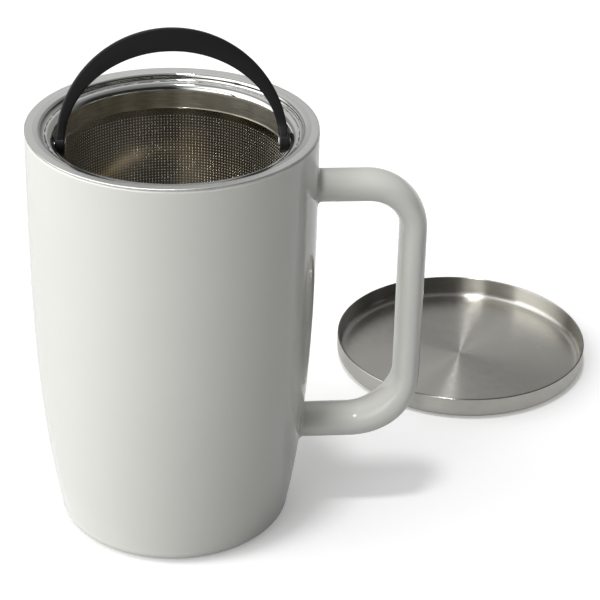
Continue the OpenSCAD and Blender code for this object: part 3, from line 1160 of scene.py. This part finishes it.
@dataclass
class Lid:
    """The spun cap, which lies on its top face."""

    centre: tuple[float, float]
    radius: float
    height: float
    sheet_t: float = 0.6 * MM
    corner_r: float = 3.2 * MM
    sides: int = 256

    @classmethod
    def from_frame(cls) -> "Lid":
        """Takes the lid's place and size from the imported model."""
        low, high = box_size("lid")
        middle = (low + high) / 2
        return cls((float(middle[0]), float(middle[1])), float(high[0] - low[0]) / 2, float(high[2]))

    def make(self) -> None:
        """Turns the lid's section about its own axis and dresses it."""
        t = self.sheet_t
        outline = rounded([
            (0.0, 0.0, 0.0), (self.radius, 0.0, self.corner_r), (self.radius, self.height, 0.49 * t),
            (self.radius - t, self.height, 0.49 * t), (self.radius - t, t, self.corner_r - t),
            (0.0, t, 0.0)], closed=False)
        points, faces = revolve(outline, self.sides, poles=True)
        points[:, :2] += self.centre
        steel = Steel("spun_steel", "satin_steel", (0.52, 0.507, 0.470), (0.50, 0.487, 0.450), 0.25,
                      anisotropy=1.0, ring_scale=900.0, ring_centre=self.centre, ring_relief=0.02)
        dress(build("lid_spun_cap", points, *faces), steel.material(), steel.slot, "lid", "lid")


# ---------------------------------------------------------------------------------------------------- studio


def aim(azimuth: float, tilt: float) -> tuple[float, float, float]:
    """Turns an azimuth and a tilt above the level, in degrees, into a direction."""
    a, t = math.radians(azimuth), math.radians(tilt)
    return math.cos(a) * math.cos(t), math.sin(a) * math.cos(t), math.sin(t)


@dataclass(frozen=True)
class Panel:
    """A soft light of the room.

    It fades in by a smooth step of the cosine between a direction and its own, from low to high.
    """

    towards: tuple[float, float, float]
    low: float
    high: float
    strength: float


@dataclass
class Studio:
    """The floor, the light and the camera of the photograph."""

    handle_turn: float = 5.6
    camera_at: tuple[float, float, float] = (38.872 * MM, -574.696 * MM, 392.625 * MM)
    camera_elevation: float = 28.989
    camera_roll: float = 1.4768
    focal_px: float = 2137.2
    picture_px: float = 600.0
    sensor: float = 36.0
    clip: tuple[float, float] = (0.01, 20.0)
    floor_half: float = 4.0
    floor_colour: Colour = (0.38, 0.38, 0.38)
    floor_shown: float = 0.52
    floor_lift: float = 0.26
    floor_reflected: float = 0.62
    surround: float = 0.03
    side_panel: Panel = Panel(aim(208.0, 20.0), 0.5, 1.0, 3.5)
    window: Panel = Panel(aim(106.0, 40.0), 0.90, 0.98, 0.50)
    back_panel: Panel = Panel((0.0, 1.0, 0.0), 0.0, 0.8, 0.36)
    top_panel: Panel = Panel((0.0, 0.0, 1.0), 0.55, 1.0, 0.30)
    lamp_towards: tuple[float, float, float] = (-0.10, -0.12, 0.99)
    lamp_strength: float = 1.0
    lamp_angle: float = 7.0

    def turned(self, vector: Sequence[float]) -> Vector:
        """Turns a direction of the photograph's frame, which looks along +Y, into the mug's own frame."""
        return Matrix.Rotation(-math.radians(self.handle_turn), 3, "Z") @ Vector(vector)

    def make_camera(self) -> None:
        """Places the camera at the photograph's viewing angle, with its small roll."""
        e, roll = math.radians(self.camera_elevation), math.radians(self.camera_roll)
        forward = self.turned((0.0, math.cos(e), -math.sin(e)))
        right = self.turned((1.0, 0.0, 0.0))
        up = right.cross(forward)
        rolled_right = right * math.cos(roll) + up * math.sin(roll)
        rolled_up = up * math.cos(roll) - right * math.sin(roll)
        data = bpy.data.cameras.new("camera")
        data.sensor_width = self.sensor
        data.lens = self.focal_px / self.picture_px * self.sensor
        data.clip_start, data.clip_end = self.clip
        camera = place("camera", data)
        turn = Matrix((rolled_right, rolled_up, -forward)).transposed().to_4x4()
        camera.matrix_world = Matrix.Translation(self.turned(self.camera_at)) @ turn
        bpy.context.scene.camera = camera

    def make_floor(self) -> None:
        """A wide floor that shows white to the camera and in reflections, and keeps the object's shadow."""
        half = self.floor_half
        mesh = bpy.data.meshes.new("floor")
        corners = [(-half, -half, 0), (half, -half, 0), (half, half, 0), (-half, half, 0)]
        mesh.from_pydata(corners, [], [(0, 1, 2, 3)])
        floor = place("floor", mesh)
        material, tree = new_material("white_floor")
        diffuse = tree.add("BsdfDiffuse")
        glow = tree.add("Emission")
        seen = tree.seen(self.floor_reflected)
        white = tuple(channel + self.floor_shown for channel in self.floor_colour)
        tree.join(tree.mix(seen, self.floor_colour, white), diffuse.inputs["Color"])
        tree.join(tree.maths("MULTIPLY", seen, self.floor_lift), glow.inputs["Strength"])
        both = tree.add("AddShader")
        tree.join(diffuse.outputs[0], both.inputs[0])
        tree.join(glow.outputs[0], both.inputs[1])
        tree.surface(both.outputs[0])
        mesh.materials.append(material)

    def make_world(self) -> None:
        """A dim room, white to the camera: a wide panel on the left, a small high window and weaker panels."""
        world = bpy.data.worlds.new("surround")
        bpy.context.scene.world = world
        world.use_nodes = True
        tree = Tree(world.node_tree)
        where = tree.add("TexCoord").outputs["Generated"]
        level = tree.maths("ADD", self.surround, 0.0)
        for panel in (self.side_panel, self.window, self.back_panel, self.top_panel):
            cosine = tree.add("VectorMath", operation="DOT_PRODUCT")
            tree.join(where, cosine.inputs[0])
            cosine.inputs[1].default_value = self.turned(panel.towards)
            light = tree.between(cosine.outputs["Value"], panel.low, panel.high, 0.0, panel.strength, smooth=True)
            level = tree.maths("ADD", level, light)
        camera = tree.add("LightPath").outputs["Is Camera Ray"]
        background = tree.add("Background")
        tree.join(tree.maths("MAXIMUM", level, camera), background.inputs["Strength"])
        output = tree.add("OutputWorld")
        tree.join(background.outputs[0], output.inputs["Surface"])

    def make_lamp(self) -> None:
        """Hangs one far lamp almost straight overhead, which draws the highlights and the softer shadows."""
        data = bpy.data.lights.new("overhead", "SUN")
        data.energy = self.lamp_strength
        data.angle = math.radians(self.lamp_angle)
        lamp = place("overhead", data)
        lamp.matrix_world = self.turned(self.lamp_towards).to_track_quat("Z", "Y").to_matrix().to_4x4()

    def make(self) -> None:
        """Sets up the whole studio."""
        bpy.context.scene.view_settings.view_transform = "Standard"
        self.make_camera()
        self.make_floor()
        self.make_world()
        self.make_lamp()


# ------------------------------------------------------------------------------------------------------ main


def main() -> None:
    """Builds the mug, the infuser, the bail, the lid and the studio, and reports each piece."""
    logging.basicConfig(level=logging.INFO, format="%(message)s")
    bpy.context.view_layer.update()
    Mug().make()
    Infuser().make()
    Bail().make()
    Lid.from_frame().make()
    Studio().make()


if __name__ == "__main__":
    main()
